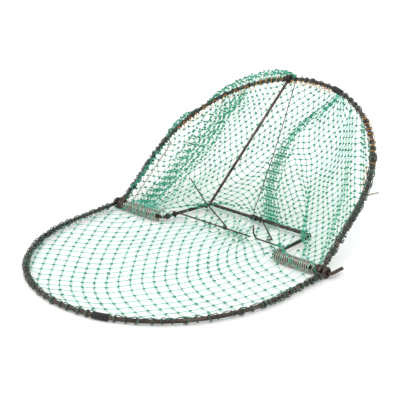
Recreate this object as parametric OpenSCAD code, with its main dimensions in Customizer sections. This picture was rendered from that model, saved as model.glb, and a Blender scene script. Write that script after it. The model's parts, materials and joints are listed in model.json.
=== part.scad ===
// Spring-loaded folding bow net trap, set open.
// Two rod hoops hinge on one axle. The lower hoop lies on the ground and holds a flat net.
// The upper hoop leans back, pulled against two torsion springs, and holds a deep net bag.
// A long latch rod ties its top to a trigger lever on the crank of the axle.
// Millimetres, +Z up, hinge axis along X, lower hoop towards -Y.

/* [Hoops] */
// Diameter of the hoops' rod
rod_d = 5; // [4:0.5:7]
// Half width of the lower hoop, at the rod's centre
low_half = 180.4; // [160:0.2:200]
// Reach of the lower hoop from the hinge axis to its front
low_reach = 258; // [230:1:290]
// Half width of the upper hoop, which closes inside the lower one
up_half = 172.6; // [150:0.2:190]
// Reach of the upper hoop from the hinge axis to its top
up_reach = 256; // [230:1:290]
// Angle of the upper hoop above the ground behind the axle when it is set
open_angle = 38.5; // [30:0.5:60]
// Sideways place of the lower hoop's coil wrap
low_wrap_x = 55; // [30:1:90]
// Sideways place of the upper hoop's coil wrap
up_wrap_x = 46; // [30:1:90]

/* [Axle and crank] */
// Diameter of the axle's rod
axle_d = 4.5; // [3.5:0.5:6]
// Radial clearance of every wire or rod eye
eye_gap = 0.1; // [0.05:0.05:0.2]
// Depth of the crank behind the hinge axis
crank_depth = 77; // [60:1:90]
// Where the crank's right arm leaves the axle
crank_right = 97; // [90:1:110]
// Where the crank's left arm leaves the axle
crank_left = 93; // [85:1:110]
// How far the left arm leans towards the middle
crank_lean = 15; // [0:1:25]
// Length of the turned-back ends of the axle
hook_len = 22; // [15:1:30]

/* [Springs] */
// Diameter of the spring wire
spring_wire = 2; // [1.5:0.1:2.5]
// Mean radius of the spring coils
spring_r = 6.2; // [5:0.1:8]
// Turns in each spring
spring_turns = 18; // [12:1:19]
// Pitch of the spring's turns
spring_pitch = 3.35; // [2.4:0.05:3.4]
// Distance of the spring arms from the middle
arm_x = 163.2; // [160:0.2:166]
// Length of a spring arm before it turns out behind the hoop
arm_len = 112; // [90:1:130]

/* [Latch and trigger] */
// Diameter of the latch rod
latch_d = 3.6; // [3:0.2:4.5]
// Sideways place of the latch rod's eye on the upper hoop
latch_x = -37.5; // [-60:0.5:0]
// Diameter of the trigger wires
wire_d = 2; // [1.5:0.1:2.5]
// Where the trigger lever's eye sits along the crank's left arm
lever_y = 70; // [60:1:71]
// Where the trip arm and the bait arm run, behind the hinge axis
trip_y = 19; // [17:1:24]
// Right end of the trip arm
trip_end = 44; // [30:1:46]
// Left end of the bait arm
bait_end = 58; // [52:1:65]
// Sideways place of the hook wire's eye on the crank's back bar
hook_x = 12; // [8:1:20]

/* [Nets] */
// Thickness of the flat net solids
net_t = 1.2; // [0.8:0.1:2]
// Half width of the lower net solid
low_net_half = 168; // [150:1:169]
// Half width of the bag's rim
bag_half = 157; // [140:1:160]
// Depth of the bag's rim behind the hoop's plane
bag_rim = 8; // [7:0.5:12]
// Diameter of the lashing twine
twine_d = 0.9; // [0.6:0.1:1.2]
// Turns of lashing twine round each hoop
lash_turns = 34; // [20:1:40]

/* [Hidden] */
$fn = 48;
eps = 0.01;

eye_r = axle_d / 2 + eye_gap + rod_d / 2;
axis_z = eye_r + rod_d / 2;
wrap_wire = 1.7;
wrap_r = rod_d / 2 + 0.15 + wrap_wire / 2;
wrap_turns = 13;
wrap_pitch = wrap_wire - 0.1;
front_z = wrap_r + wrap_wire / 2 + 0.05;
low_tilt = asin((axis_z - front_z) / low_reach);
low_leg = low_reach - low_half;
up_leg = up_reach - up_half;
lash_gap = 0.4;
// Where the lashing starts on a hoop's legs, and its distance from the wraps' and the latch eye's middle
lash_skip = 22;
wrap_room = 14;
latch_room = 7;
lash_r = rod_d / 2 + lash_gap + twine_d / 2;
front_edge = low_reach + lash_r + twine_d / 2;
back_edge = up_reach * cos(open_angle) + lash_r + twine_d / 2;
hinge_y = (front_edge - back_edge) / 2;
bend_r = 4;
// How much thinner every second stretch of a bent rod is, and how many diameters the others run past a corner
corner_gap = 0.16;
corner_over = 0.5;
// How far a wire rides above its eye's centreline
ride = 0.3;
axle_end = low_half + rod_d / 2 + bend_r + 0.2;
wire_eye_r = axle_d / 2 + eye_gap + wire_d / 2;
arm_r = 5.4;
spring_core = 0.8;
spring_len = (spring_turns - 1) * spring_pitch + spring_wire;
spring_out = arm_x - spring_wire - 1.2;
latch_u = up_leg + sqrt(up_half * up_half - latch_x * latch_x);
latch_eye_r = rod_d / 2 + eye_gap + latch_d / 2;
latch_turn = asin(-latch_x / up_half);
latch_top = [latch_x, latch_u * cos(open_angle), latch_u * sin(open_angle)];
latch_tip = [-66, 63.5, wire_eye_r + ride + wire_d / 2 + 0.5 + latch_d / 2];
wire_z = wire_eye_r + ride;
lever_pivot = [left_arm_x(lever_y), lever_y, wire_z];
lever_front = [0, trip_y + 4.5, wire_z];
lever_rear = [-131, 96.5, 17];
knot_at = [0, trip_y + 1.6, wire_z];
knot_r = 3.4;
bag_top = 236;
bag_start = 12;
// Where the bag's lower edge runs between the crank's arms, just behind its back bar
bag_behind = 66;
bag_rise = 0.06;
seam_top = [-24, (up_reach - 8) * cos(open_angle), (up_reach - 8) * sin(open_angle)];
seam_foot = [1, crank_depth - 1, 5.4];

// The left arm's distance from the middle at y behind the axis, negative to the left
function left_arm_x(y) = -crank_left + crank_lean * y / crank_depth;
function unit(v) = v / norm(v);

module at_axis() { translate([0, hinge_y, axis_z]) children(); }
// A flat frame with u along +Y from the hinge and n along +Z, laid where each hoop lies
module lower_frame() { at_axis() rotate([low_tilt, 0, 0]) mirror([0, 1, 0]) children(); }
module upper_frame() { at_axis() rotate([open_angle, 0, 0]) children(); }

// A straight rod between two points
module rod(a, b, d) {
    v = b - a;
    translate(a) rotate([0, acos(v[2] / norm(v)), atan2(v[1], v[0])]) cylinder(h = norm(v), d = d);
}

// A ring of wire round an axis along X
module ring(r, d) { rotate([0, 90, 0]) rotate_extrude() translate([r, 0]) circle(d = d); }

// A rod in the XY plane through the points: straight stretches that cross in tight corners, in turn thick and thin
module bent_rod(pts, d, thin_first = false) {
    for (i = [0:len(pts) - 2]) {
        step = unit(pts[i + 1] - pts[i]);
        thin = (i % 2 == 1) != thin_first;
        start = i > 0 && !thin ? pts[i] - step * d * corner_over : pts[i];
        end = i < len(pts) - 2 && !thin ? pts[i + 1] + step * d * corner_over : pts[i + 1];
        rod([start[0], start[1], 0], [end[0], end[1], 0], thin ? d - corner_gap : d);
    }
}

// One round corner that starts at the origin along +X; a positive turn is to the left
module bend(turn, r, d) {
    side = sign(turn);
    translate([0, side * r, 0]) rotate([0, 0, side > 0 ? -90 : 90 + turn])
        rotate_extrude(angle = abs(turn)) translate([r, 0]) circle(d = d);
}

// A hoop's rod: a half circle, two legs and an eye of some turns at each leg's end
module hoop_rod(half, leg, eyes) {
    translate([0, leg, 0]) rotate_extrude(angle = 180) translate([half, 0]) circle(d = rod_d);
    for (side = [-1, 1]) {
        translate([side * half, eye_r + 0.5, 0]) rotate([-90, 0, 0])
            cylinder(h = leg - eye_r - 0.5, d = rod_d);
        for (k = [0:eyes - 1]) translate([side * (half - k * (rod_d - 0.1)), 0, 0]) ring(eye_r, rod_d);
    }
}

// A coil along X as a ribbed sleeve, centred on the origin; a core closes the gaps of an open coil
module ribbed_sleeve(r, wire, pitch, turns, core = 0) {
    start = -pitch * (turns - 1) / 2;
    rotate([0, 90, 0]) rotate_extrude() union() {
        for (k = [0:turns - 1]) translate([r, start + k * pitch]) circle(d = wire, $fn = 24);
        if (core > 0) translate([r - core / 2, start]) square([core, -2 * start]);
    }
}

// Points and outward directions along a hoop, from one leg over the arc to the other
function hoop_len(half, leg, skip) = 2 * (leg - skip) + PI * half;
function hoop_at(s, half, leg, skip) = s < leg - skip ? [half, skip + s, 0]
    : s < leg - skip + PI * half
        ? let(a = (s - leg + skip) / half * 180 / PI) [half * cos(a), leg + half * sin(a), 0]
        : [-half, leg - (s - (leg - skip) - PI * half), 0];
function hoop_out(s, half, leg, skip) = s < leg - skip ? [1, 0, 0]
    : s < leg - skip + PI * half ? let(a = (s - leg + skip) / half * 180 / PI) [cos(a), sin(a), 0] : [-1, 0, 0];

// A tube with flat ends swept along points, one closed solid
module swept(path, d, sides) {
    count = len(path);
    ways = [for (i = [0:count - 1]) unit(path[min(i + 1, count - 1)] - path[max(i - 1, 0)])];
    rims = [for (i = [0:count - 1]) let(w = ways[i], a = unit(cross(w, abs(w[2]) > 0.9 ? [1, 0, 0] : [0, 0, 1])),
        b = cross(w, a)) for (k = [0:sides - 1])
            path[i] + d / 2 * (a * cos(360 * k / sides) + b * sin(360 * k / sides))];
    walls = [for (i = [0:count - 2], k = [0:sides - 1]) let(n = (k + 1) % sides)
        [i * sides + k, i * sides + n, (i + 1) * sides + n, (i + 1) * sides + k]];
    polyhedron(rims, concat(walls, [[for (k = [sides - 1:-1:0]) k]],
        [[for (k = [0:sides - 1]) (count - 1) * sides + k]]), convexity = 10);
}

// Distance along a hoop to the place that lies x to the side on its round stretch
function along(x, half, leg, skip) = leg - skip + half * acos(x / half) * PI / 180;

// Twine wound round a hoop's rod, in runs from one distance along it to another
module lashing(half, leg, skip, runs) {
    steps = 9;
    pitch = hoop_len(half, leg, skip) / lash_turns;
    for (run = runs) {
        count = round((run[1] - run[0]) / pitch * steps);
        swept([for (i = [0:count]) let(s = run[0] + (run[1] - run[0]) * i / count, a = 360 * i / steps)
            hoop_at(s, half, leg, skip) + lash_r * (cos(a) * hoop_out(s, half, leg, skip) + sin(a) * [0, 0, 1])],
            twine_d, 5);
    }
}

// Half width and depth of the net bag at a distance u up the hoop; its floor rises away from the hinge
function bag_from(side) = bag_start + (bag_behind - bag_start) * max(0, min(1, (0.76 - abs(side)) / 0.06));
function bag_w(u) = u < up_leg ? bag_half : sqrt(bag_half * bag_half - (u - up_leg) * (u - up_leg));
function bag_floor(u) = (u * (sin(open_angle) - bag_rise) + axis_z - 1) / cos(open_angle);
function bag_d(u) = min(bag_rim + bag_top - u, bag_floor(u));
module lower_hoop() { color("#4a423d") lower_frame() hoop_rod(low_half, low_leg, 1); }
module upper_hoop() { color("#3c3531") upper_frame() hoop_rod(up_half, up_leg, 2); }

module lower_wrap() {
    color("#17181a") lower_frame() translate([0, low_leg, 0]) rotate([0, 0, -asin(low_wrap_x / low_half)])
        translate([0, low_half, 0]) ribbed_sleeve(wrap_r, wrap_wire, wrap_pitch, wrap_turns);
}
module upper_wrap() {
    color("#17181a") upper_frame() translate([0, up_leg, 0]) rotate([0, 0, -asin(up_wrap_x / up_half)])
        translate([0, up_half, 0]) ribbed_sleeve(wrap_r, wrap_wire, wrap_pitch, wrap_turns - 2);
}

module lower_lashing() {
    wrap_at = along(low_wrap_x, low_half, low_leg, lash_skip);
    color("#22493d") lower_frame() lashing(low_half, low_leg, lash_skip,
        [[0, wrap_at - wrap_room], [wrap_at + wrap_room, hoop_len(low_half, low_leg, lash_skip)]]);
}
module upper_lashing() {
    wrap_at = along(up_wrap_x, up_half, up_leg, lash_skip);
    latch_at = along(latch_x, up_half, up_leg, lash_skip);
    color("#22493d") upper_frame() lashing(up_half, up_leg, lash_skip, [[0, wrap_at - wrap_room],
        [wrap_at + wrap_room, latch_at - latch_room], [latch_at + latch_room, hoop_len(up_half, up_leg, lash_skip)]]);
}

// The flat net in the lower hoop, as a thin plate
module lower_net() {
    color("#7fd8bf") lower_frame() translate([0, 0, -net_t / 2]) linear_extrude(net_t) {
        translate([-low_net_half, 9]) square([2 * low_net_half, low_leg - 9]);
        intersection() {
            translate([0, low_leg]) circle(r = low_net_half, $fn = 96);
            translate([-low_net_half, low_leg - eps]) square([2 * low_net_half, low_net_half + 1]);
        }
    }
}

// The strip of net on the ground under the trip wires
module net_middle() {
    color("#7fd8bf") translate([-88, hinge_y - 8, 0.5]) cube([2 * 88, trip_y + 6, 0.8]);
}

// The bag that hangs behind the upper hoop, as a thin shell
module upper_net() {
    rows = 26;
    cols = 40;
    top = [for (i = [0:rows], j = [0:cols]) let(side = sin(90 * (2 * j / cols - 1)),
        from = bag_from(side), u = from + (bag_top - from) * i / rows, d = bag_rim + (bag_d(u) - bag_rim) * (1 - pow(abs(side), 24)))
        [bag_w(u) * side, u, -d + 1]];
    low = [for (p = top) p - [0, 0, 2]];
    n = (rows + 1) * (cols + 1);
    function at(i, j) = i * (cols + 1) + j;
    skin = [for (i = [0:rows - 1], j = [0:cols - 1])
        for (f = [[at(i, j), at(i + 1, j), at(i + 1, j + 1)], [at(i, j), at(i + 1, j + 1), at(i, j + 1)]]) f];
    rim = concat([for (j = [0:cols]) at(0, j)], [for (i = [1:rows]) at(i, cols)],
        [for (j = [cols - 1:-1:0]) at(rows, j)], [for (i = [rows - 1:-1:1]) at(i, 0)]);
    edge = [for (k = [0:len(rim) - 1]) let(a = rim[k], b = rim[(k + 1) % len(rim)])
        for (f = [[a, b, b + n], [a, b + n, a + n]]) f];
    color("#5fc7a8") upper_frame() polyhedron(concat(top, low),
        concat(skin, [for (f = skin) [f[0] + n, f[2] + n, f[1] + n]], edge), convexity = 10);
}

// The dark twine that joins the bag's halves, from the hoop's top to the crank's back bar
module seam_cord() { color("#1f3d35") at_axis() rod(seam_top, seam_foot, 1.4); }

// Orange twine threaded along the bag's edge, inside the hoop
module edge_arc(from, to) {
    upper_frame() translate([0, up_leg, 0]) rotate([0, 0, from])
        rotate_extrude(angle = to - from) translate([up_half - 5.6, 0]) circle(d = 1.2, $fn = 24);
}
module edge_twine_left() { color("#d08a2a") edge_arc(106, 174); }
module edge_twine_right() { color("#d08a2a") edge_arc(6, 83); }

module crank_axle() {
    color("#3f3732") at_axis() bent_rod([[-axle_end, hook_len], [-axle_end, 0], [-crank_left, 0],
        [left_arm_x(crank_depth), crank_depth], [crank_right, crank_depth], [crank_right, 0],
        [axle_end, 0], [axle_end, hook_len]], axle_d, true);
}

// A torsion spring's close coil, with its inner leg laid over the crank's arm
module right_spring() {
    leg_x = spring_out - spring_len + spring_wire / 2;
    color("#8f8a84") at_axis() {
        translate([spring_out - spring_len / 2, 0, 0])
            ribbed_sleeve(spring_r, spring_wire, spring_pitch, spring_turns, spring_core);
        translate([leg_x, -0.5, spring_r + 0.2]) rotate([-90, 0, 0])
            cylinder(h = 15.5, d = spring_wire - 0.1);
    }
}
module left_spring() { mirror([1, 0, 0]) right_spring(); }

// A spring's outer end: a last half-turn and the arm that pushes behind the hoop's leg
module right_spring_arm() {
    color("#a8a49c") upper_frame() {
        translate([arm_x, 0, 0]) rotate([0, -90, 0]) rotate([0, 0, 180])
            rotate_extrude(angle = 180) translate([arm_r, 0]) circle(d = spring_wire);
        translate([0, 0, -arm_r]) bent_rod([[arm_x, -0.4], [arm_x, arm_len], [up_half + 10, arm_len + 12]],
            spring_wire, true);
    }
}
module left_spring_arm() { mirror([1, 0, 0]) right_spring_arm(); }

// Cord bound round the crank where the net is tied to it
module left_binding() {
    color("#1d2b26") at_axis() translate([left_arm_x(8), 8, 0])
        rotate([0, 0, 90 - atan(crank_lean / crank_depth)])
            ribbed_sleeve(axle_d / 2 + 0.9, 1.6, 1.45, 4);
}
module right_binding() {
    color("#1d2b26") at_axis() translate([crank_right, 8, 0]) rotate([0, 0, 90])
        ribbed_sleeve(axle_d / 2 + 0.9, 1.6, 1.45, 4);
}
module bar_binding() {
    color("#1d2b26") at_axis() translate([1, crank_depth, 0])
        ribbed_sleeve(axle_d / 2 + 0.9, 1.6, 1.45, 8);
}

// The long rod from the hoop's top to the trigger, with a wound eye on the hoop
module latch_rod() {
    way = unit(latch_tip - latch_top);
    color("#4a3f38") at_axis() {
        rod(latch_top + latch_eye_r * way, latch_tip, latch_d);
        translate(latch_tip) sphere(d = latch_d + 0.2);
        rotate([open_angle, 0, 0]) translate([latch_x, latch_u, 0]) rotate([0, 0, latch_turn])
            for (k = [-1, 1]) translate([k * 0.48 * latch_d, 0, 0]) ring(latch_eye_r, latch_d);
    }
}

// The wire lever that the latch rod bears on, pivoting on the crank's left arm
module trigger_lever() {
    color("#55504a") at_axis() {
        translate([lever_pivot[0], lever_pivot[1], 0]) rotate([0, 0, 90 - atan(crank_lean / crank_depth)])
            ring(wire_eye_r, wire_d);
        rod(lever_pivot, lever_front, wire_d);
        rod(lever_pivot, lever_rear, wire_d);
        translate(lever_pivot) sphere(d = wire_d + 0.3);
    }
}

// The wire that the quarry steps on, pivoting on the same arm and tied to the lever
module trip_arm() {
    at = [left_arm_x(trip_y), trip_y, 0];
    color("#55504a") at_axis() {
        translate(at) rotate([0, 0, 90 - atan(crank_lean / crank_depth)]) ring(wire_eye_r, wire_d);
        rod(at + [-0.6, 0, wire_z], [trip_end, trip_y, wire_z], wire_d);
    }
}
module trip_knot() {
    color("#1f6b55") at_axis() difference() {
        translate(knot_at) sphere(r = knot_r);
        rod([-20, trip_y, wire_z], [20, trip_y, wire_z], wire_d + 0.1);
        rod(lever_pivot, lever_front + 0.02 * (lever_front - lever_pivot), wire_d + 0.1);
    }
}

// The bait wire on the crank's right arm and its upturned pin
module bait_arm() {
    color("#55504a") at_axis() translate([crank_right, trip_y, 0]) {
        rotate([0, 0, 90]) ring(wire_eye_r, wire_d);
        rod([0.6, 0, wire_z], [bait_end - crank_right, 0, wire_z], wire_d);
    }
}
module bait_pin() {
    curl = 8;
    color("#55504a") at_axis() translate([bait_end, trip_y, wire_z]) {
        rotate([90, 0, 180]) bend(90, curl, wire_d);
        translate([-curl, 0, curl]) cylinder(h = 9, d = wire_d);
    }
}

// The wire hook from the crank's back bar to the bait arm
module hook_wire() {
    color("#55504a") at_axis() {
        translate([hook_x, crank_depth, 0]) ring(wire_eye_r, wire_d);
        translate([0, 0, wire_z])
            bent_rod([[hook_x - 0.6, crank_depth + 0.5], [71, 30], [67.5, 22.8]], wire_d);
    }
}

lower_hoop();
lower_wrap();
lower_lashing();
lower_net();
net_middle();
crank_axle();
left_spring();
right_spring();
left_binding();
right_binding();
bar_binding();
upper_hoop();
upper_wrap();
upper_lashing();
upper_net();
seam_cord();
edge_twine_left();
edge_twine_right();
left_spring_arm();
right_spring_arm();
latch_rod();
trigger_lever();
trip_arm();
trip_knot();
bait_arm();
bait_pin();
hook_wire();
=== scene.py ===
"""Looks of a spring-loaded bow net trap that stands set open: steel hoops, wound springs, lashings and
knotted nets."""

import json
import math
import bpy
import numpy as np
from mathutils import Matrix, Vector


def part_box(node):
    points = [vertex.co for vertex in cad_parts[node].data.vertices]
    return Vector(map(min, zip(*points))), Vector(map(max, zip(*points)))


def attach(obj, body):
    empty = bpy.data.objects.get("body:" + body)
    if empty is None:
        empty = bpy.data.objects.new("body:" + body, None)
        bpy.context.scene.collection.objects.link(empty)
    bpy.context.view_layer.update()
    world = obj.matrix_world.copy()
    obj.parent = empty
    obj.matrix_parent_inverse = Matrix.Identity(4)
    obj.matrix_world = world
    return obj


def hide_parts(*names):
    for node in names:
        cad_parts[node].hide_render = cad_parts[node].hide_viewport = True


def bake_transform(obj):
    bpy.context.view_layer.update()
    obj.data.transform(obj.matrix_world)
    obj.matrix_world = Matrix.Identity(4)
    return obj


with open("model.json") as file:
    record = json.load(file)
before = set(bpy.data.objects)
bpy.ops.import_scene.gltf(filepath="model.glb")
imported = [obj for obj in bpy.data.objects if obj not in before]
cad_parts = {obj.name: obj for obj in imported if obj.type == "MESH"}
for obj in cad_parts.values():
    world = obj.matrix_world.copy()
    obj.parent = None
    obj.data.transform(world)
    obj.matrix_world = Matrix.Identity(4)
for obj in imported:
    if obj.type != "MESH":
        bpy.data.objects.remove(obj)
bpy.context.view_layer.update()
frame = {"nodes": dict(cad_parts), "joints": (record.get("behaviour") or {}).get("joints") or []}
MM = 0.001
X, Y, Z = np.eye(3)
rng = np.random.default_rng(7)


# ---------------------------------------------------------------- camera

CAMERA_AZIMUTH = math.radians(43.52)
CAMERA_HEIGHT = math.radians(21.215)
CAMERA_ROLL = math.radians(-1.454)
CAMERA_DISTANCE = 1.474
CAMERA_TARGET = np.array([0.0430, -0.0414, 0.0872])
CAMERA_LENS = 110.7


def unit(vectors):
    """Each vector divided by its own length."""
    vectors = np.asarray(vectors, float)
    return vectors / np.maximum(np.linalg.norm(vectors, axis=-1, keepdims=True), 1e-12)


def aim(obj, place, target, roll=0.0):
    """Puts a camera or light at a place with its -Z axis towards the target, turned by roll about that
    axis."""
    back = unit(np.subtract(place, target))
    right = unit(np.cross(Z, back))
    over = np.cross(back, right)
    turned_right = right * math.cos(roll) + over * math.sin(roll)
    turned_over = over * math.cos(roll) - right * math.sin(roll)
    rows = [[turned_right[k], turned_over[k], back[k], place[k]] for k in range(3)]
    obj.matrix_world = Matrix(rows + [[0, 0, 0, 1]])


def make_camera():
    back = np.array([math.sin(CAMERA_AZIMUTH) * math.cos(CAMERA_HEIGHT),
                     -math.cos(CAMERA_AZIMUTH) * math.cos(CAMERA_HEIGHT), math.sin(CAMERA_HEIGHT)])
    camera = bpy.data.objects.new("camera", bpy.data.cameras.new("camera"))
    bpy.context.scene.collection.objects.link(camera)
    camera.data.lens = CAMERA_LENS
    camera.data.clip_start = 0.05
    aim(camera, CAMERA_TARGET + back * CAMERA_DISTANCE, CAMERA_TARGET, CAMERA_ROLL)
    bpy.context.scene.camera = camera


make_camera()


# ---------------------------------------------------------------- places taken from the frame

def middle(node):
    """The middle of a CAD node's box."""
    low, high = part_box(node)
    return (np.array(low) + np.array(high)) / 2


HINGE = np.array(next(j for j in frame["joints"] if j["name"] == "bow_hinge")["pos_m"])
# Half thicknesses of the hoops' rod and of the axle.
ROD = 2.5 * MM
AXLE = 2.25 * MM
# The axle's crank: side places of its two arms at the hinge, how far the left one leans inwards on its way
# to the back bar, and the length of the axle's turned-back ends.
CRANK_LEFT = 93 * MM
CRANK_RIGHT = 97 * MM
CRANK_LEAN = 15 * MM
AXLE_HOOK = 22 * MM


def hoop_facts(node, wrap):
    """A hoop's half width, leg length, direction away from the hinge and normal, from the boxes of hoop
    and wrap."""
    low, high = (np.array(c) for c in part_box(node))
    away = unit((middle(wrap) - HINGE) * (Y + Z))
    far = high[1] if away[1] > 0 else low[1]
    half = high[0] - ROD
    reach = (abs(far - HINGE[1]) - ROD) / abs(away[1])
    normal = np.array([0.0, -away[2] * np.sign(away[1]), abs(away[1])])
    return {"half": half, "leg": reach - half, "away": away, "normal": normal}


LATCH_EYE = np.array(next(j for j in frame["joints"] if j["name"] == "latch_pivot")["pos_m"])
LOW = hoop_facts("lower_hoop", "lower_wrap")
UP = hoop_facts("upper_hoop", "upper_wrap")


def on_hoop(hoop, x, u, n):
    """Points x to the side, u away from the hinge and n out of the hoop's plane."""
    x, u, n = (np.asarray(v, float)[..., None] for v in np.broadcast_arrays(x, u, n))
    return HINGE + x * X + u * hoop["away"] + n * hoop["normal"]


def hoop_length(hoop):
    return 2 * hoop["leg"] + math.pi * hoop["half"]


def rim(hoop, s):
    """Place (x, u) and outward direction at distance s along the rod from the right hinge: straight up
    the right leg, round a half circle and straight down the left leg."""
    s = np.asarray(s, float)
    half, leg = hoop["half"], hoop["leg"]
    angle = np.clip((s - leg) / half, 0, math.pi)
    past = np.maximum(s - leg - math.pi * half, 0)
    x, u = half * np.cos(angle), leg + half * np.sin(angle)
    return x, np.where(s < leg, s, u - past), np.cos(angle), np.sin(angle)


def rim_distance(hoop, x):
    """Distance along the rod to the place x to the side on its round stretch."""
    return hoop["leg"] + hoop["half"] * math.acos(x / hoop["half"])


# ---------------------------------------------------------------- meshes from arrays

def tubes(paths, radius, sides, hint, closed=False):
    """Round tubes along many paths of as many steps each. A ring is the path's point plus the radius
    times (cos a * side + sin a * over), where side is the hint made square to the path and over is
    their cross product."""
    paths = np.asarray(paths, float)
    paths = paths[None] if paths.ndim == 2 else paths
    count, steps = paths.shape[:2]
    if closed:
        ahead = unit(np.roll(paths, -1, 1) - np.roll(paths, 1, 1))
    else:
        ahead = unit(np.gradient(paths, axis=1))
    hint = np.broadcast_to(hint, paths.shape)
    side = unit(hint - (hint * ahead).sum(-1, keepdims=True) * ahead)
    over = np.cross(ahead, side)
    angle = 2 * math.pi * np.arange(sides) / sides
    ring = np.cos(angle)[:, None] * side[..., None, :] + np.sin(angle)[:, None] * over[..., None, :]
    radius = np.broadcast_to(np.asarray(radius, float), (count, steps))
    verts = paths[:, :, None] + radius[..., None, None] * ring
    index = np.arange(count * steps * sides).reshape(count, steps, sides)
    here, there = (index, np.roll(index, -1, 1)) if closed else (index[:, :-1], index[:, 1:])
    walls = np.stack([here, np.roll(here, -1, 2), np.roll(there, -1, 2), there], -1).reshape(-1, 4)
    leap = np.linalg.norm(np.roll(paths, -1, 1) - paths, axis=-1)
    along = np.concatenate([np.zeros((count, 1)), np.cumsum(leap, 1)], 1)
    v0, v1 = (along[:, :-1], along[:, 1:]) if closed else (along[:, :-2], along[:, 1:-1])
    u0 = np.arange(sides) / sides
    corner_u = np.stack([u0, u0 + 1 / sides, u0 + 1 / sides, u0], -1)
    corner_v = np.stack([v0, v0, v1, v1], -1)
    uv = np.stack(np.broadcast_arrays(corner_u[None, None], corner_v[:, :, None]), -1).reshape(-1, 4, 2)
    faces, uvs = [walls], [uv]
    if not closed:
        faces += [index[:, 0, ::-1], index[:, -1]]
        uvs += [np.zeros((count, sides, 2))] * 2
    return verts.reshape(-1, 3), faces, uvs


def beads(centres, ways, long, wide):
    """Small closed six-sided beads: a hexagon waist and two smaller hexagons before and behind it along
    each way, capped at both ends."""
    centres, ways = np.asarray(centres, float), unit(ways)
    steps = np.array([-1.0, -0.62, 0.0, 0.62, 1.0])
    widths = np.array([0.35, 0.8, 1.0, 0.8, 0.35])
    paths = centres[:, None] + (ways * np.asarray(long).reshape(-1, 1))[:, None] * steps[:, None]
    hint = np.where(np.abs(ways[:, 2:]) > 0.9, X, Z)[:, None]
    return tubes(paths, np.asarray(wide).reshape(-1, 1) * widths, 6, hint)


def link(name, parts, materials, body, replaces=()):
    """One piece from parts of (verts, faces, uvs, material index), riding on a body given by name, or
    left unattached where it stands for any other body, and standing for CAD nodes."""
    verts, faces, uvs, marks, base = [], [], [], [], 0
    for points, polygons, corners, mark in parts:
        verts.append(points)
        for group, uv in zip(polygons, corners):
            faces += (group + base).tolist()
            uvs.append(uv.reshape(-1, 2))
            marks.append(np.full(len(group), mark))
        base += len(points)
    mesh = bpy.data.meshes.new(name)
    mesh.from_pydata(np.concatenate(verts), [], faces)
    mesh.uv_layers.new(name="UVMap").data.foreach_set("uv", np.concatenate(uvs).ravel().astype(np.float32))
    for material in materials:
        mesh.materials.append(material)
    mesh.polygons.foreach_set("material_index", np.concatenate(marks).astype(np.int32))
    mesh.polygons.foreach_set("use_smooth", np.ones(len(mesh.polygons), bool))
    mesh.update()
    obj = bpy.data.objects.new(name, mesh)
    bpy.context.scene.collection.objects.link(obj)
    if isinstance(body, str):
        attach(obj, body)
    else:
        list(body)
        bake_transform(obj)
    if replaces:
        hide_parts(*replaces)
    return obj


# ---------------------------------------------------------------- materials

def colour(hex_value):
    """An sRGB hex colour as linear red, green, blue and alpha."""
    parts = [int(hex_value[k:k + 2], 16) / 255 for k in (1, 3, 5)]
    return [c / 12.92 if c <= 0.04045 else ((c + 0.055) / 1.055) ** 2.4 for c in parts] + [1.0]


def add(tree, kind, settings=None, inputs=None):
    """Adds a shader node with its settings, and its inputs as values or as links from other nodes'
    outputs."""
    node = tree.nodes.new(kind)
    for name, value in (settings or {}).items():
        setattr(node, name, value)
    for name, value in (inputs or {}).items():
        if isinstance(value, bpy.types.NodeSocket):
            tree.links.new(value, node.inputs[name])
        else:
            node.inputs[name].default_value = value
    return node


def ramp(tree, factor, stops):
    """A colour ramp with its stops as (place, hex colour)."""
    node = add(tree, "ShaderNodeValToRGB", inputs={"Fac": factor})
    band = node.color_ramp.elements
    while len(band) < len(stops):
        band.new(0.5)
    for element, (place, value) in zip(band, stops):
        element.position = place
        element.color = colour(value)
    return node.outputs["Color"]


def new_material(name):
    material = bpy.data.materials.new(name)
    material.use_nodes = True
    tree = material.node_tree
    tree.nodes.clear()
    return material, tree


def finish_material(material, tree, shader):
    out = add(tree, "ShaderNodeOutputMaterial", inputs={"Surface": shader.outputs["BSDF"]})
    out.is_active_output = True
    return material


def steel(name, stops, metallic, roughness, fleck=2.2 * MM, scuff=0.25):
    """Drawn steel: an oxide skin whose tone wanders in flecks, with fine die scratches."""
    material, tree = new_material(name)
    place = add(tree, "ShaderNodeTexCoord").outputs["Object"]
    flecks = add(tree, "ShaderNodeTexNoise", inputs={"Vector": place, "Scale": 1 / fleck / 6, "Detail": 5.0,
                                                    "Roughness": 0.62})
    broad = add(tree, "ShaderNodeTexNoise", inputs={"Vector": place, "Scale": 38.0, "Detail": 3.0})
    blend = add(tree, "ShaderNodeMath", {"operation": "ADD"},
                {0: flecks.outputs["Fac"], 1: broad.outputs["Fac"]})
    half = add(tree, "ShaderNodeMath", {"operation": "MULTIPLY"}, {0: blend.outputs[0], 1: 0.5})
    rough = add(tree, "ShaderNodeMapRange", inputs={
        "Value": flecks.outputs["Fac"], "From Min": 0.3, "From Max": 0.7,
        "To Min": roughness - 0.1, "To Max": roughness + 0.12})
    bump = add(tree, "ShaderNodeBump", inputs={"Height": flecks.outputs["Fac"], "Strength": scuff,
                                               "Distance": 0.15 * MM})
    shader = add(tree, "ShaderNodeBsdfPrincipled", inputs={
        "Base Color": ramp(tree, half.outputs[0], stops), "Metallic": metallic,
        "Roughness": rough.outputs["Result"], "Normal": bump.outputs["Normal"]})
    return finish_material(material, tree, shader)


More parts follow.
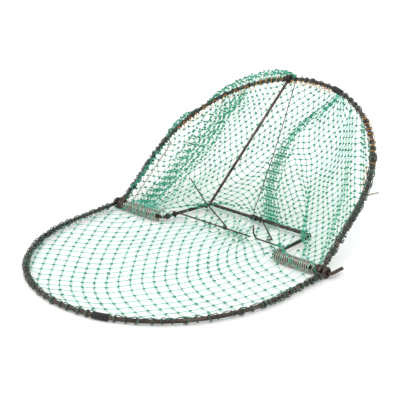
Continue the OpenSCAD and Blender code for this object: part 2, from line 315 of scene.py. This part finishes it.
def twine(name, stops, roughness, strand, sheen=0.15, through=0.0):
    """Twisted or braided plastic twine: slanted strands that wind round it, as a wave over the piece's
    own UV, with a tone that wanders from place to place."""
    material, tree = new_material(name)
    coords = add(tree, "ShaderNodeTexCoord")
    patches = add(tree, "ShaderNodeTexNoise", inputs={"Vector": coords.outputs["Object"], "Scale": 90.0,
                                                     "Detail": 4.0})
    slant = add(tree, "ShaderNodeMapping", inputs={"Vector": coords.outputs["UV"],
                                                   "Scale": (2.0, 1 / strand, 1.0)})
    strands = add(tree, "ShaderNodeTexWave", {"wave_type": "BANDS", "bands_direction": "DIAGONAL"},
                  {"Vector": slant.outputs["Vector"], "Scale": 0.5, "Distortion": 0.4})
    bump = add(tree, "ShaderNodeBump", inputs={"Height": strands.outputs["Fac"], "Strength": 0.5,
                                               "Distance": 0.12 * MM})
    shader = add(tree, "ShaderNodeBsdfPrincipled", inputs={
        "Base Color": ramp(tree, patches.outputs["Fac"], stops), "Roughness": roughness,
        "Sheen Weight": sheen, "Subsurface Weight": through, "Subsurface Scale": 0.6 * MM,
        "Normal": bump.outputs["Normal"]})
    return finish_material(material, tree, shader)


def make_materials():
    """Every finish on the trap, by name."""
    found = {}
    # Cold drawn rod left with its brown-black oxide: dark, half metallic, with paler rubbed flecks.
    found["rod"] = steel("oxidised_drawn_rod", [(0.3, "#29221e"), (0.52, "#4b413a"), (0.72, "#7d726a")],
                         0.72, 0.42)
    # Hard drawn spring wire, dull grey from its lubricant, brighter where turns rub.
    found["spring"] = steel("hard_drawn_spring_wire",
                            [(0.3, "#8a8a80"), (0.55, "#b5b4a8"), (0.75, "#d8d6cb")],
                            0.85, 0.34, 1.2 * MM, 0.12)
    # Annealed wire with a soft dark scale, for the trigger.
    found["wire"] = steel("annealed_trigger_wire", [(0.3, "#2e2925"), (0.55, "#4a443e"), (0.75, "#6f6861")],
                          0.7, 0.45, 1.5 * MM, 0.2)
    # Black plastic coated wire, wound close: smooth, with a soft highlight on each turn.
    found["wrap"] = twine("black_coated_wire", [(0.3, "#0c0d0e"), (0.7, "#1c1d1f")], 0.38, 30 * MM, 0.0)
    # Polyethylene net twine: pale sea green, slightly see-through, with a waxy gloss.
    found["net"] = twine("green_polyethylene_twine", [(0.3, "#35b394"), (0.55, "#52c8a9"), (0.75, "#7fdcc3")],
                         0.45, 1.6 * MM, 0.1, 0.15)
    # The same twine in the knots, as a darker copy with painted shade: the shade inside a tight knot, where
    # light doesn't pass, is put into its colour.
    found["knot"] = twine("knot_twine_painted_shade", [(0.3, "#0c7356"), (0.55, "#188a69"), (0.75, "#2a9f7d")],
                          0.5, 1.6 * MM, 0.1)
    # Dark green braided lashing twine, dusty on its ridges.
    found["lashing"] = twine("dark_green_lashing_twine",
                             [(0.3, "#10221c"), (0.55, "#1f4438"), (0.75, "#356b59")], 0.6, 1.4 * MM, 0.3)
    # Almost black waxed cord that binds net and crank.
    found["cord"] = twine("waxed_binding_cord", [(0.3, "#0d1613"), (0.6, "#1d332b")], 0.5, 1.8 * MM, 0.2)
    # Orange nylon twine threaded along the net's edge.
    found["orange"] = twine("orange_nylon_twine", [(0.3, "#b5701c"), (0.55, "#d28a2b"), (0.75, "#e2a650")],
                            0.45, 1.4 * MM, 0.2)
    return found


FINISH = make_materials()
CAD_FINISH = {"lower_hoop": "rod", "upper_hoop": "rod", "latch_rod": "rod",
              "left_spring_arm": "spring", "right_spring_arm": "spring", "trigger_lever": "wire",
              "trip_arm": "wire", "bait_arm": "wire", "bait_pin": "wire", "hook_wire": "wire"}
for node, finish in CAD_FINISH.items():
    slots = frame["nodes"][node].data.materials
    slots.clear()
    slots.append(FINISH[finish])


# ---------------------------------------------------------------- wound wire: wraps, springs and bindings

def coil_path(centre, axis, start_dir, radius, pitch, turns, steps=18):
    """A helix: centre plus the axis times its rise, plus the radius turning from start_dir round the
    axis."""
    axis, start_dir = unit(axis), unit(start_dir)
    angle = np.linspace(0, 2 * math.pi * turns, int(round(turns * steps)) + 1)[:, None]
    rise = (angle / (2 * math.pi) - turns / 2) * pitch
    spoke = np.cos(angle) * start_dir + np.sin(angle) * np.cross(axis, start_dir)
    return centre + rise * axis + radius * spoke, spoke


def wrap_part(hoop, x_at, turns, wire):
    """Coated wire wound close round the hoop's rod, as a helix that follows the rod's curve."""
    s_mid = rim_distance(hoop, x_at)
    angle = np.linspace(0, 2 * math.pi * turns, turns * 16 + 1)
    s = s_mid + (angle / (2 * math.pi) - turns / 2) * wire * 2
    x, u, ox, ou = rim(hoop, s)
    out = ox[:, None] * X + ou[:, None] * hoop["away"]
    spoke = np.cos(angle)[:, None] * out + np.sin(angle)[:, None] * hoop["normal"]
    path = on_hoop(hoop, x, u, 0) + (ROD + wire + 0.1 * MM) * spoke
    return *tubes(path, wire, 8, spoke), 0


def make_wraps():
    wire = 0.85 * MM
    for name, hoop, turns, body in (("lower_wrap", LOW, 12, "base"), ("upper_wrap", UP, 10, "upper_bow")):
        x_at = middle(name)[0]
        parts = [wrap_part(hoop, x_at, turns, wire)]
        link(name + "_coil", parts, [FINISH["wrap"]], body, [name])


def make_springs():
    """Each spring is an open helix round the axle, with its inner leg laid over the crank's arm."""
    wire, radius, pitch, turns = 1.0 * MM, 6.2 * MM, 3.33 * MM, 17.5
    for name, hand in (("left_spring", -1), ("right_spring", 1)):
        low, high = (np.array(c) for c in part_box(name))
        inner = low[0] if hand > 0 else high[0]
        outer = high[0] if hand > 0 else low[0]
        centre = np.array([(inner + outer) / 2, HINGE[1], HINGE[2]])
        path, spoke = coil_path(centre, -hand * X, Z, radius, pitch, turns)
        leg_y = np.linspace(0.8 * MM, 15 * MM, 8)[:, None]
        leg = path[-1] * (X + Z) + HINGE[1] * Y + leg_y * Y
        leg[:, 2] = HINGE[2] + radius + 0.2 * MM
        leg[:, 0] = inner + hand * wire
        parts = [(*tubes(path, wire, 8, spoke), 0), (*tubes(leg, wire, 8, Z), 0)]
        link(name + "_coil", parts, [FINISH["spring"]], "base", [name])


def rounded_path(corners, radius, steps=7):
    """A path through the corners in the hinge's level plane, each inner one rounded: a quadratic curve
    from a radius before the corner to a radius after it."""
    corners = [HINGE + x * X + y * Y for x, y in corners]
    path = [corners[0]]
    for before, here, after in zip(corners, corners[1:], corners[2:]):
        start, end = here + unit(before - here) * radius, here + unit(after - here) * radius
        t = np.linspace(0, 1, steps)[:, None]
        path += list((1 - t) ** 2 * start + 2 * t * (1 - t) * here + t ** 2 * end)
    return np.array(path + [corners[-1]])


def make_crank():
    """The one bent rod that both hoops turn on: axle ends with short hooks, two arms and the back bar."""
    high = np.array(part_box("crank_axle")[1])
    end, back = high[0] - AXLE, high[1] - AXLE - HINGE[1]
    corners = [(-end, AXLE_HOOK), (-end, 0), (-CRANK_LEFT, 0), (CRANK_LEAN - CRANK_LEFT, back),
               (CRANK_RIGHT, back), (CRANK_RIGHT, 0), (end, 0), (end, AXLE_HOOK)]
    parts = [(*tubes(rounded_path(corners, 5 * MM), AXLE, 14, Z), 0)]
    link("crank_axle_rod", parts, [FINISH["rod"]], "base", ["crank_axle"])


def make_bindings():
    """Cord wound round the crank, with two loose ends that stand off it."""
    for name, axis in (("left_binding", Y), ("right_binding", Y), ("bar_binding", X)):
        low, high = (np.array(c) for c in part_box(name))
        centre = (low + high) / 2
        length = (high - low)[0 if axis is X else 1]
        turns = int(length / (1.5 * MM))
        wind, spoke = coil_path(centre, axis, Z, AXLE + 0.85 * MM, 1.42 * MM, turns)
        across = np.cross(axis, Z)
        t = np.linspace(0, 1, 10)[:, None]
        parts = [(*tubes(wind, 0.72 * MM, 6, spoke), 0)]
        for lean in (-1, 1):
            end = centre + lean * 1.2 * MM * axis + Z * (3.6 * MM + 3.5 * MM * np.sin(1.8 * t)) \
                + lean * across * 6 * MM * t + axis * lean * 3 * MM * t ** 2
            parts.append((*tubes(end, 0.5 * MM, 5, axis), 0))
        parts.append((*beads([centre + Z * 3.4 * MM], [across], 2.2 * MM, 1.5 * MM), 0))
        link(name + "_cord", parts, [FINISH["cord"]], "base", [name])


def make_trip_knot():
    """Twine knotted round the crossing of trip arm and lever: five loops at different slants."""
    centre = middle("trip_knot")
    angle = np.linspace(0, 2 * math.pi, 15)[:-1, None]
    parts = []
    for k in range(5):
        slant = math.radians(36 * k + 10)
        a = unit(math.cos(slant) * Y + math.sin(slant) * X)
        b = unit(Z + 0.5 * math.cos(2.4 * k) * np.cross(a, Z))
        ring = centre + 2.5 * MM * (np.cos(angle) * a + np.sin(angle) * b)
        parts.append((*tubes(ring, 0.6 * MM, 6, np.cross(a, b), True), 0))
    link("trip_knot_twine", parts, [FINISH["lashing"]], "trigger", ["trip_knot"])


make_wraps()
make_springs()
make_crank()
make_bindings()
make_trip_knot()


# ---------------------------------------------------------------- lashings

def loop_parts(hoop, s, radius, slant, thick):
    """Closed loops of twine round the rod: a circle in the plane square to the rod, slanted along it by
    a sine."""
    s = np.asarray(s, float)
    x, u, ox, ou = rim(hoop, s)
    out = ox[:, None] * X + ou[:, None] * hoop["away"]
    way = np.cross(hoop["normal"], out)
    angle = 2 * math.pi * np.arange(13) / 13
    spoke = np.cos(angle)[:, None] * out[:, None] + np.sin(angle)[:, None] * hoop["normal"]
    skew = slant[:, None, None] * np.sin(angle + 0.6)[:, None] * way[:, None]
    path = on_hoop(hoop, x, u, 0)[:, None] + radius[:, None, None] * spoke + skew
    return *tubes(path, thick, 5, spoke, True), 0


def runner_part(hoop, s0, s1, side, thick, wander):
    """The twine's run along the rod from loop to loop: an offset from the rod that wanders by two sines."""
    s = np.arange(s0, s1, 2.5 * MM)
    x, u, ox, ou = rim(hoop, s)
    out = ox[:, None] * X + ou[:, None] * hoop["away"]
    lean = side + wander * np.sin(s / MM * 0.35) + wander * 0.5 * np.sin(s / MM * 0.83 + 1)
    gap = ROD + thick + 0.35 * MM + 0.5 * MM * (1 + np.sin(s / MM * 0.6))
    spoke = np.cos(lean)[:, None] * out + np.sin(lean)[:, None] * hoop["normal"]
    path = on_hoop(hoop, x, u, 0) + gap[:, None] * spoke
    return *tubes(path, thick, 5, hoop["normal"], False), 0


def spaced(s0, s1, gap):
    """Places from s0 to s1 that are the gap apart, each moved a little at random."""
    s = np.arange(s0, s1, gap)
    return s + rng.uniform(-0.22, 0.22, len(s)) * gap


def clear_of(s, rooms):
    """Only the places that lie outside each room of (middle, half length)."""
    for centre, room in rooms:
        s = s[np.abs(s - centre) > room]
    return s


def lashing(hoop, zones, rooms, thick):
    """Loops in zones of (start, end, spacing, extra radius), doubled where they're close, and runners
    beside them."""
    parts = []
    for s0, s1, gap, loose in zones:
        s = clear_of(spaced(s0, s1, gap), rooms)
        radius = ROD + thick + 0.2 * MM + rng.uniform(0, loose, len(s))
        slant = rng.uniform(-2.2, 2.2, len(s)) * MM
        parts.append(loop_parts(hoop, s, radius, slant, thick))
        twin = rng.random(len(s)) < 0.55
        beside, wider, more = s[twin] + 1.3 * MM, radius[twin] + 0.15 * MM, slant[twin] + 0.8 * MM
        parts.append(loop_parts(hoop, beside, wider, more, thick))
        parts.append(runner_part(hoop, s0, s1, math.pi * 0.85, thick * 0.9, 0.5))
    return parts


def make_lashings():
    thick = 0.62 * MM
    total = hoop_length(LOW)
    wrap_at = rim_distance(LOW, middle("lower_wrap")[0])
    skip = 12 * MM
    zones = [(skip, 0.16 * total, 6.5 * MM, 0.9 * MM), (0.16 * total, wrap_at, 13 * MM, 0.5 * MM),
             (wrap_at, 0.60 * total, 15 * MM, 0.7 * MM), (0.60 * total, total - skip, 7.5 * MM, 1.1 * MM)]
    parts = lashing(LOW, zones, [(wrap_at, 11 * MM)], thick)
    link("lower_hoop_lashing", parts, [FINISH["lashing"]], "base", ["lower_lashing"])
    total = hoop_length(UP)
    wrap_at = rim_distance(UP, middle("upper_wrap")[0])
    latch_at = rim_distance(UP, LATCH_EYE[0])
    rooms = [(wrap_at, 10 * MM), (latch_at, 6 * MM)]
    zones = [(skip, 0.24 * total, 4.5 * MM, 1.6 * MM), (0.24 * total, 0.5 * total, 12 * MM, 0.6 * MM),
             (0.5 * total, 0.76 * total, 9 * MM, 0.8 * MM), (0.76 * total, total - skip, 4.5 * MM, 1.6 * MM)]
    parts = lashing(UP, zones, rooms, thick)
    link("upper_hoop_lashing", parts, [FINISH["lashing"]], "upper_bow", ["upper_lashing"])


make_lashings()


# ---------------------------------------------------------------- nets

BAR = 14.3 * MM
TWINE = 0.42 * MM


def relax(knots, bars, held, steps, drop, floor, bar):
    """Lets a net hang: each step moves the free knots on by nine tenths of their last move and a drop,
    then brings each bar back to its length where it is stretched, and lifts the knots on to the floor.
    Bars come in groups in which no two share a knot."""
    last = knots.copy()
    share = np.where(held, 0.0, 1.0)
    for _ in range(steps):
        moved = knots + (knots - last) * 0.9 - drop * Z
        last, knots = knots, np.where(held[:, None], knots, moved)
        for _ in range(6):
            for a, b in bars:
                gap = knots[b] - knots[a]
                span = np.linalg.norm(gap, axis=1)
                pull = np.maximum(span - bar, 0) / np.maximum(span, 1e-9)
                total = np.maximum(share[a] + share[b], 1e-9)
                knots[a] += gap * (pull * share[a] / total)[:, None]
                knots[b] -= gap * (pull * share[b] / total)[:, None]
            knots[:, 2] = np.where(held, knots[:, 2], np.maximum(knots[:, 2], floor(knots)))
    return knots


def net_parts(knots, bars, shown, sag, bar, thick=TWINE):
    """Twine along every bar, a shallow arc that sags where the bar has spare length, and a knot at each
    crossing."""
    a = np.concatenate([g[0] for g in bars])
    b = np.concatenate([g[1] for g in bars])
    start, end = knots[a], knots[b]
    span = np.linalg.norm(end - start, axis=1)
    spare = np.sqrt(np.maximum(bar ** 2 - span ** 2, 0)) * 0.35
    t = np.array([0.0, 0.3, 0.7, 1.0])[None, :, None]
    bow = rng.normal(0, 1, (len(a), 1, 3)) * 0.5 + sag
    dip = np.minimum(spare, 3 * MM)[:, None, None]
    paths = start[:, None] * (1 - t) + end[:, None] * t + 4 * t * (1 - t) * bow * dip
    hint = np.where(np.abs(unit(end - start)[:, 2:]) > 0.9, X, Z)[:, None]
    parts = [(*tubes(paths, thick, 4, hint), 0)]
    centre = knots[shown]
    way = unit(rng.normal(0, 1, (len(centre), 3)) * 0.35 + X * 0.8 + Y * 0.6)
    size = rng.uniform(0.85, 1.2, len(centre))
    # The knot beads take the second finish, the darker knot twine with painted shade.
    parts.append((*beads(centre, way, 1.8 * MM * size, 1.15 * MM * size), 1))
    return parts


def groups_of(index, steps_down, steps_side):
    """Bars between neighbours on a grid of knot numbers (-1 where there is none), in four groups with
    no shared knot. A group is the bars along one grid direction that start on even or on odd lines."""
    groups = []
    for shift in (steps_down, steps_side):
        for parity in (0, 1):
            di, dj = shift
            a = index[:index.shape[0] - di, :index.shape[1] - dj]
            b = index[di:, dj:]
            line = np.arange(a.shape[0])[:, None] if di else np.arange(a.shape[1])[None, :]
            keep = (a >= 0) & (b >= 0) & (np.broadcast_to(line, a.shape) % 2 == parity)
            groups.append((a[keep], b[keep]))
    return groups


def trim(grid, inside, snap):
    """Keeps the grid's knots that are inside, and those one bar outside it, which are moved to the edge
    and held."""
    near = np.zeros_like(inside)
    near[1:] |= inside[:-1]
    near[:-1] |= inside[1:]
    near[:, 1:] |= inside[:, :-1]
    near[:, :-1] |= inside[:, 1:]
    edge = near & ~inside
    kept = inside | edge
    index = np.where(kept, np.cumsum(kept).reshape(kept.shape) - 1, -1)
    knots = grid[kept].copy()
    held = edge[kept]
    knots[held] = snap(knots[held])
    groups = groups_of(index, (1, 0), (0, 1))
    return knots, [(a[~(held[a] & held[b])], b[~(held[a] & held[b])]) for a, b in groups], held


CRANK_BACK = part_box("crank_axle")[1][1] - AXLE
SPRING_IN, SPRING_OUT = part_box("right_spring")[0][0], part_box("right_spring")[1][0]
# Between these side places the ground net reaches back to the crank's bar.
CRANK_X = (-86 * MM, CRANK_RIGHT)


def bump_over(distance, reach, height):
    """A smooth hump: the height times the squared cosine of the distance, down to nothing at the reach."""
    return height * np.cos(np.clip(distance / reach, -1, 1) * math.pi / 2) ** 2


def ground_height(points):
    """The lowest a net knot may lie: just off the ground, and over the springs, the crank's arms and
    its back bar."""
    x, y = points[:, 0], points[:, 1] - HINGE[1]
    low = np.full(len(x), 0.9 * MM)
    over_spring = (np.abs(x) > SPRING_IN - 4 * MM) & (np.abs(x) < SPRING_OUT + 4 * MM)
    low = np.maximum(low, np.where(over_spring, bump_over(y, 17 * MM, HINGE[2] + 8.8 * MM), 0))
    beside = (y > -4 * MM) & (y < CRANK_BACK - HINGE[1] + 4 * MM)
    top = HINGE[2] + 4.2 * MM
    for arm in (-CRANK_LEFT + CRANK_LEAN / (CRANK_BACK - HINGE[1]) * y, CRANK_RIGHT + 0 * y):
        low = np.maximum(low, np.where(beside, bump_over(x - arm, 11 * MM, top), 0))
    between = (x > CRANK_X[0]) & (x < CRANK_X[1])
    return np.maximum(low, np.where(between, bump_over(points[:, 1] - CRANK_BACK, 11 * MM, top), 0))


def gather(knots, held, places):
    """Draws the free knots near each place towards it: by a share that falls off as a bell with
    distance."""
    for centre, reach, share in places:
        away = knots - np.array(centre)
        near = share * np.exp(-(away[:, 0] ** 2 + away[:, 1] ** 2) / reach ** 2)
        knots = np.where(held[:, None], knots, knots - away * near[:, None])
    return knots


# Side and depth place, from the hinge's middle, of the knot that the ground net's lattice grows from.
LATTICE_START = (-106 * MM, -129 * MM)


def ground_lattice(count):
    """Side and depth places of the ground net's knots laid flat: two families of bars of one length,
    where each line of a family is the sum of bars whose heading turns slowly from line to line, so
    meshes lean over smoothly."""
    lines = np.arange(-count, count)
    first = np.radians(np.interp(lines, (-8, 0, 4, 14), (18, 30, 54, 80)))
    second = np.radians(np.interp(lines, (-6, 6, 10, 15), (-60, -48, -26, -14)))
    rows = np.cumsum(np.stack([np.cos(first), np.sin(first)], -1) * BAR, 0)
    columns = np.cumsum(np.stack([np.cos(second), np.sin(second)], -1) * BAR, 0)
    flat = (rows - rows[count - 1])[:, None] + (columns - columns[count - 1])[None]
    return flat[..., 0] + LATTICE_START[0], flat[..., 1] + LATTICE_START[1]


def make_lower_net():
    """The ground net: the flat lattice cut to the hoop and the crank and tied to their rods, then drawn
    together where the trip arm's twine holds it and laid over springs and crank."""
    x, y = ground_lattice(34)
    inset = ROD + 1.2 * MM
    leg, half = LOW["leg"], LOW["half"] - inset
    u = -y
    back = CRANK_BACK - HINGE[1] - 4 * MM
    in_bow = (u > -8 * MM) & np.where(u < leg, np.abs(x) < half, np.hypot(x, u - leg) < half)
    in_crank = (u <= 0) & (-u < back) & (x > CRANK_X[0] + 4 * MM) & (x < CRANK_X[1] - 3 * MM)
    grid = on_hoop(LOW, x, u, 0)
    drape = 0.5 + 0.5 * np.sin(x / MM / 23 + 0.6 * np.sin(y / MM / 31)) * np.sin(y / MM / 27 + 1)
    grid[..., 2] = np.minimum(grid[..., 2], (1.2 + 2.6 * drape) * MM)

    def snap(points):
        px, pu = points[:, 0], -(points[:, 1] - HINGE[1])
        angle = np.arctan2(px, np.maximum(pu - leg, 0) + 1e-9)
        on_arc = pu > leg
        ex = np.where(on_arc, half * np.sin(angle), np.clip(px, -half, half))
        eu = np.where(on_arc, leg + half * np.cos(angle), pu)
        behind = pu < -4 * MM
        in_middle = behind & (px > CRANK_X[0]) & (px < CRANK_X[1])
        eu = np.where(behind & ~in_middle, -9 * MM, eu)
        eu = np.where(in_middle, np.maximum(pu, -back), eu)
        placed = on_hoop(LOW, ex, eu, 0)
        placed[:, 2] = np.where(behind, 5 * MM, placed[:, 2])
        placed[:, 2] = np.maximum(placed[:, 2], ground_height(placed))
        return placed

    knots, bars, held = trim(grid, in_bow | in_crank, snap)
    hy, hz = HINGE[1], 3 * MM
    places = [((-40 * MM, hy + 28 * MM, hz + 1 * MM), 24 * MM, 0.66),
              ((4 * MM, hy + 34 * MM, hz), 30 * MM, 0.82),
              ((30 * MM, hy + 20 * MM, hz), 22 * MM, 0.7),
              ((-128 * MM, hy - 2 * MM, hz + 9 * MM), 26 * MM, 0.6)]
    knots = gather(knots, held, places)
    knots = relax(knots, bars, held, 2, 0.02 * MM, ground_height, 1.3 * BAR)
    return knots, bars, held


BAG_BAR = 9.0 * MM


def fold_places(u):
    """Where the bag's two gathered folds run at height u: (side place, half width, crowding) of each.
    The left one leans inwards by a power of the height. The right one comes in from the crank's bar,
    turns at mid height and sweeps out to the rim, by a power of the distance below or above its
    turn."""
    u = min(u, 240 * MM)
    left = -158 * MM + 54 * MM * (u / (240 * MM)) ** 1.6
    below, above = max(130 * MM - u, 0) / (70 * MM), max(u - 130 * MM, 0) / (110 * MM)
    right = -12 * MM + 30 * MM * below ** 2 + 88 * MM * above ** 2.6
    return ((left, 24 * MM, 3.6), (right, 11 * MM, 4.2))


def bag_columns(shares, u):
    """Side places of the net's columns at height u: equal shares of a crowding that is 1 in the open,
    less at the lower left, and rises as a bell at each fold."""
    x = np.linspace(-UP["half"], UP["half"], 401)
    crowd = np.where(x > 0, 1.05, 0.8)
    for centre, width, more in fold_places(u):
        crowd = crowd + more * np.exp(-((x - centre) / width) ** 2)
    sums = np.concatenate([[0], np.cumsum((crowd[1:] + crowd[:-1]) / 2)])
    return np.interp(shares, sums / sums[-1], x)


def bag_foot(x):
    """Height and depth in the hoop's frame of the bag's lower edge: at the crank's back bar in the
    middle, and just behind the hinge beside it."""
    back = CRANK_BACK - HINGE[1]
    share = 1 / (1 + np.exp((np.abs(x - 6 * MM) - 108 * MM) / (8 * MM)))
    depth = 9 * MM + (back - 9 * MM) * share
    return depth * UP["away"][1], -depth * UP["away"][2]


def make_upper_net():
    """The bag: columns of slim meshes from the crank and hinge up to the rim, crowded in two folds,
    then left to hang from the rim."""
    columns, rows, rise = 50, 44, 5.8 * MM
    r, c = np.meshgrid(np.arange(rows), np.arange(2 * columns + 1), indexing="ij")
    ok = (r + c) % 2 == 0
    shares = c / (2 * columns)
    x = np.stack([bag_columns(shares[k], 42 * MM + k * rise) for k in range(rows)])
    foot_u, foot_n = bag_foot(x)
    u = foot_u + r * rise
    top = UP["leg"] + np.sqrt(np.maximum((UP["half"] - 3.8 * MM) ** 2 - x ** 2, 0))
    progress = np.clip((u - foot_u) / np.maximum(top - foot_u, 1 * MM), 0, 1)
    n = foot_n * (1 - progress) ** 1.2 - 30 * MM * progress * (1 - progress) * 4 * 0.5
    n = n + 5 * MM * np.cos(math.pi * c / 2) * np.where(np.gradient(x, axis=1) < 2.4 * MM, 1, 0.15)
    inside = ok & (u < top) & (r > 0) & (np.abs(x) < UP["half"] - 3.8 * MM)
    diag = (r + c) // 2, (r - c) // 2 + columns
    shape = (diag[0].max() + 1, diag[1].max() + 1)
    grid = np.zeros(shape + (3,))
    mask = np.zeros(shape, bool)
    points = on_hoop(UP, x, u, n)
    grid[diag[0][ok], diag[1][ok]] = points[ok]
    mask[diag[0][ok], diag[1][ok]] = inside[ok]

    def snap(points):
        rel = points - HINGE
        px, pu = rel[:, 0], rel @ UP["away"]
        half = UP["half"] - 3.4 * MM
        angle = np.arctan2(px, np.maximum(pu - UP["leg"], 0) + 1e-9)
        on_arc = pu > UP["leg"]
        foot_u, foot_n = bag_foot(px)
        low = (pu < foot_u + 0.6 * rise) & (np.abs(px) < half - 1 * MM)
        ex = np.where(low, px, np.where(on_arc, half * np.sin(angle), np.sign(px) * half))
        eu = np.where(low, foot_u, np.where(on_arc, UP["leg"] + half * np.cos(angle), pu))
        en = np.where(low, foot_n, 0)
        placed = on_hoop(UP, ex, eu, en)
        placed[:, 2] = np.maximum(placed[:, 2], ground_height(placed))
        return placed

    knots, bars, held = trim(grid, mask, snap)
    return relax(knots, bars, held, 14, 0.08 * MM, ground_height, BAG_BAR), bars, held


def flap_parts(s0, s1, tall, thick=TWINE):
    """Loose net that billows over the rim: rows of knots rise out of the rod's line by a half sine
    along it and roll over backwards."""
    count = int((s1 - s0) / (5.2 * MM))
    r, c = np.meshgrid(np.arange(6), np.arange(2 * count + 1), indexing="ij")
    ok = (r + c) % 2 == 0
    share = c / (2 * count)
    height = tall * np.sin(math.pi * share) ** 0.6
    x, u, ox, ou = rim(UP, s0 + (s1 - s0) * share)
    roll = r / 5 * 2.3
    out = height * np.sin(roll) + 1.5 * MM
    back = height * (1 - np.cos(roll)) * 0.5
    points = on_hoop(UP, x + ox * out, u + ou * out, 1 * MM - back)
    points = points + rng.normal(0, 0.9 * MM, x.shape + (3,))
    index = np.where(ok, np.cumsum(ok).reshape(ok.shape) - 1, -1)
    bars = [(index[:-1, :-1][ok[:-1, :-1]], index[1:, 1:][ok[:-1, :-1]]),
            (index[:-1, 1:][ok[:-1, 1:]], index[1:, :-1][ok[:-1, 1:]])]
    return net_parts(points[ok], bars, np.arange(ok.sum()), -0.3 * Z, BAG_BAR, thick)


# Base, bow and two places, given to link for bag and seam in place of a body; link attaches them to neither
# body, so they stay where they were built.
FOLD_ZONE = ("base", "upper_bow", tuple(HINGE + 8 * MM * Y), tuple(HINGE + 120 * MM * UP["away"]))


def make_nets():
    net_finish = [FINISH["net"], FINISH["knot"]]
    knots, bars, held = make_lower_net()
    link("ground_net", net_parts(knots, bars, ~held, -0.2 * Z, BAR), net_finish, "base",
         ["lower_net", "net_middle"])
    knots, bars, held = make_upper_net()
    parts = net_parts(knots, bars, ~held, -0.4 * Z, BAG_BAR)
    link("bag_net", parts, net_finish, FOLD_ZONE, ["upper_net"])
    total = hoop_length(UP)
    parts = flap_parts(0.54 * total, 0.725 * total, 26 * MM) + flap_parts(0.76 * total, 0.83 * total, 15 * MM)
    link("rim_flap_net", parts, net_finish, "upper_bow")


make_nets()


# ---------------------------------------------------------------- seam cord and edge twine

def make_seam():
    """Two-strand cord from the hoop's top to the crank's back bar, with a shallow sag."""
    low, high = (np.array(c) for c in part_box("seam_cord"))
    top = np.array([low[0], high[1], high[2]])
    foot = np.array([high[0], low[1], low[2]]) + Z * 5 * MM
    t = np.linspace(0, 1, 120)[:, None]
    line = top * (1 - t) + foot * t - Z * 4 * t * (1 - t) * 7 * MM
    turn = 2 * math.pi * 38 * t
    across = np.cross(unit(foot - top), X)
    parts = []
    for phase in (0, math.pi):
        spoke = np.cos(turn + phase) * X + np.sin(turn + phase) * across
        parts.append((*tubes(line + 0.4 * MM * spoke, 0.42 * MM, 5, spoke), 0))
    link("seam_twine", parts, [FINISH["cord"]], FOLD_ZONE, ["seam_cord"])


def scallop_part(s0, s1, pitch, drop, thick):
    """Twine laced along the rim: from the rod it dips inwards in scallops, each a squared sine."""
    s = np.arange(s0, s1, 1.2 * MM)
    x, u, ox, ou = rim(UP, s)
    dip = ROD + 1.0 * MM + drop * np.sin(math.pi * (s - s0) / pitch) ** 2
    n = 1.4 * MM * np.cos(2 * math.pi * (s - s0) / pitch) + 1.5 * MM
    path = on_hoop(UP, x - ox * dip, u - ou * dip, n)
    return *tubes(path, thick, 5, UP["normal"]), 0


def wound_part(s0, s1, turns, thick):
    """Twine wound openly round rod and lashing."""
    angle = np.linspace(0, 2 * math.pi * turns, turns * 14 + 1)
    s = np.linspace(s0, s1, len(angle))
    x, u, ox, ou = rim(UP, s)
    out = ox[:, None] * X + ou[:, None] * UP["away"]
    spoke = np.cos(angle)[:, None] * out + np.sin(angle)[:, None] * UP["normal"]
    path = on_hoop(UP, x, u, 0) + (ROD + 1.9 * MM) * spoke
    return *tubes(path, thick, 5, spoke), 0


def make_edge_twine():
    thick = 0.45 * MM
    total = hoop_length(UP)
    right = [scallop_part(0.44 * total, 0.55 * total, 9 * MM, 5.5 * MM, thick),
             wound_part(0.22 * total, 0.34 * total, 9, thick),
             scallop_part(0.17 * total, 0.22 * total, 12 * MM, 6 * MM, thick)]
    left = [scallop_part(0.62 * total, 0.76 * total, 17 * MM, 7 * MM, thick),
            wound_part(0.55 * total, 0.62 * total, 6, thick),
            scallop_part(0.76 * total, 0.81 * total, 11 * MM, 9 * MM, thick)]
    link("edge_twine_right_lace", right, [FINISH["orange"]], "upper_bow", ["edge_twine_right"])
    link("edge_twine_left_lace", left, [FINISH["orange"]], "upper_bow", ["edge_twine_left"])


make_seam()
make_edge_twine()


# ---------------------------------------------------------------- floor and light

def make_floor():
    """A plain sheet of pale backdrop under the trap."""
    wide = 6.0
    mesh = bpy.data.meshes.new("floor")
    corners = [(-wide, -wide, 0), (wide, -wide, 0), (wide, wide, 0), (-wide, wide, 0)]
    mesh.from_pydata(corners, [], [(0, 1, 2, 3)])
    floor = bpy.data.objects.new("floor", mesh)
    bpy.context.scene.collection.objects.link(floor)
    # Matt white photographer's backdrop paper, with no shine.
    material, tree = new_material("white_backdrop_paper")
    shader = add(tree, "ShaderNodeBsdfPrincipled", inputs={"Base Color": colour("#f4f4f3"), "Roughness": 0.95,
                                                           "Specular IOR Level": 0.1})
    mesh.materials.append(finish_material(material, tree, shader))
    floor.location = (0, 0, -0.2 * MM)


def make_light(name, place, size, power):
    light = bpy.data.lights.new(name, "AREA")
    light.shape = "DISK"
    light.size = size
    light.energy = power
    obj = bpy.data.objects.new(name, light)
    bpy.context.scene.collection.objects.link(obj)
    aim(obj, np.array(place), np.array([0, 0, 0.05]))


def make_world():
    world = bpy.data.worlds.new("studio")
    world.use_nodes = True
    world.node_tree.nodes["Background"].inputs["Color"].default_value = (1, 1, 1, 1)
    world.node_tree.nodes["Background"].inputs["Strength"].default_value = 1.0
    bpy.context.scene.world = world
    bpy.context.scene.view_settings.view_transform = "Standard"


make_floor()
make_world()
make_light("key", (1.2, -1.0, 2.2), 1.6, 26)
make_light("fill", (-1.8, -0.8, 1.6), 2.0, 10)
